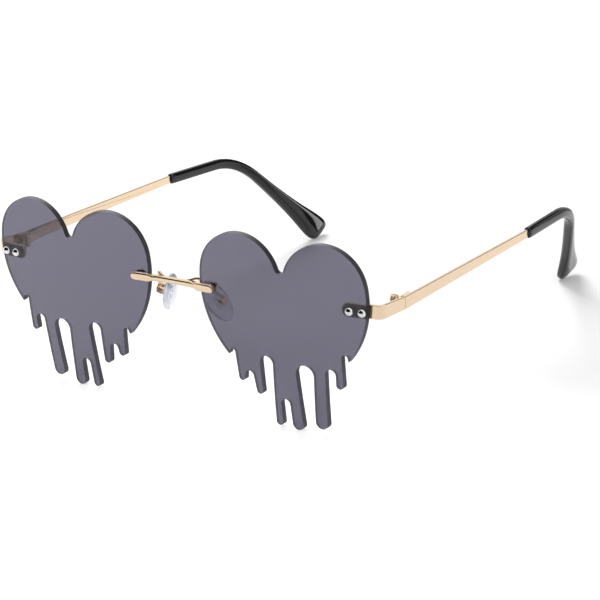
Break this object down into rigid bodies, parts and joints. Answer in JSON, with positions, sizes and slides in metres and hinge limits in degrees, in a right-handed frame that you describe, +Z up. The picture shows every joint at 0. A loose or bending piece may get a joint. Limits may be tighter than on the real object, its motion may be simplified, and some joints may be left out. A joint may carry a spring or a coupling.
{
  "type": "heart sunglasses",
  "caption": "Rimless sunglasses with tinted heart lenses whose lower edges run down in drips, a slim gold bridge and folding gold temples with black tips.",
  "frame": {"origin": "on the surface that the sunglasses stand on, in the mirror plane, under the foremost points of the lenses", "axes": "+X towards the wearer's left, +Y from the lenses back to the ears, +Z up"},
  "size_m": [0.135, 0.1529, 0.0571],
  "materials": {
    "lens_tint": "polished tinted sheet",
    "gold": "polished pale gold plating",
    "silver": "polished",
    "black_tip": "gloss moulded",
    "silicone": "clear soft moulded",
    "pad_core": "clear hard moulded"
  },
  "bodies": {
    "front": {"bridge": "gold", "lens_left": "lens_tint", "lens_right": "lens_tint", "rivets_left": "silver", "rivets_right": "silver", "end_piece_left": "gold", "end_piece_right": "gold", "hinge_screw_left": "gold", "hinge_screw_right": "gold", "bridge_nut_left": "gold", "bridge_nut_right": "gold", "pad_arm_left": "gold", "pad_arm_right": "gold", "pad_screw_left": "gold", "pad_screw_right": "gold"},
    "temple_left": {"temple_left": "gold", "temple_tip_left": "black_tip"},
    "temple_right": {"temple_right": "gold", "temple_tip_right": "black_tip"},
    "nose_pad_left": {"nose_pad_left": "silicone", "pad_insert_left": "pad_core"},
    "nose_pad_right": {"nose_pad_right": "silicone", "pad_insert_right": "pad_core"}
  },
  "joints": [
    {"name": "temple_fold_left", "type": "hinge", "parent": "front", "child": "temple_left", "pos_m": [0.0649, 0.0145, 0.0382], "axis": [0, 0, 1], "range_deg": [0, 88]},
    {"name": "temple_fold_right", "type": "hinge", "parent": "front", "child": "temple_right", "pos_m": [-0.0649, 0.0145, 0.0382], "axis": [0, 0, -1], "range_deg": [0, 83]},
    {"name": "nose_pad_rock_left", "type": "hinge", "parent": "front", "child": "nose_pad_left", "pos_m": [0.01092, 0.00927, 0.03264], "axis": [-0.0733, -0.9025, -0.4244], "range_deg": [-8, 8]},
    {"name": "nose_pad_rock_right", "type": "hinge", "parent": "front", "child": "nose_pad_right", "pos_m": [-0.01092, 0.00927, 0.03264], "axis": [-0.0733, 0.9025, 0.4244], "range_deg": [-8, 8]}
  ]
}
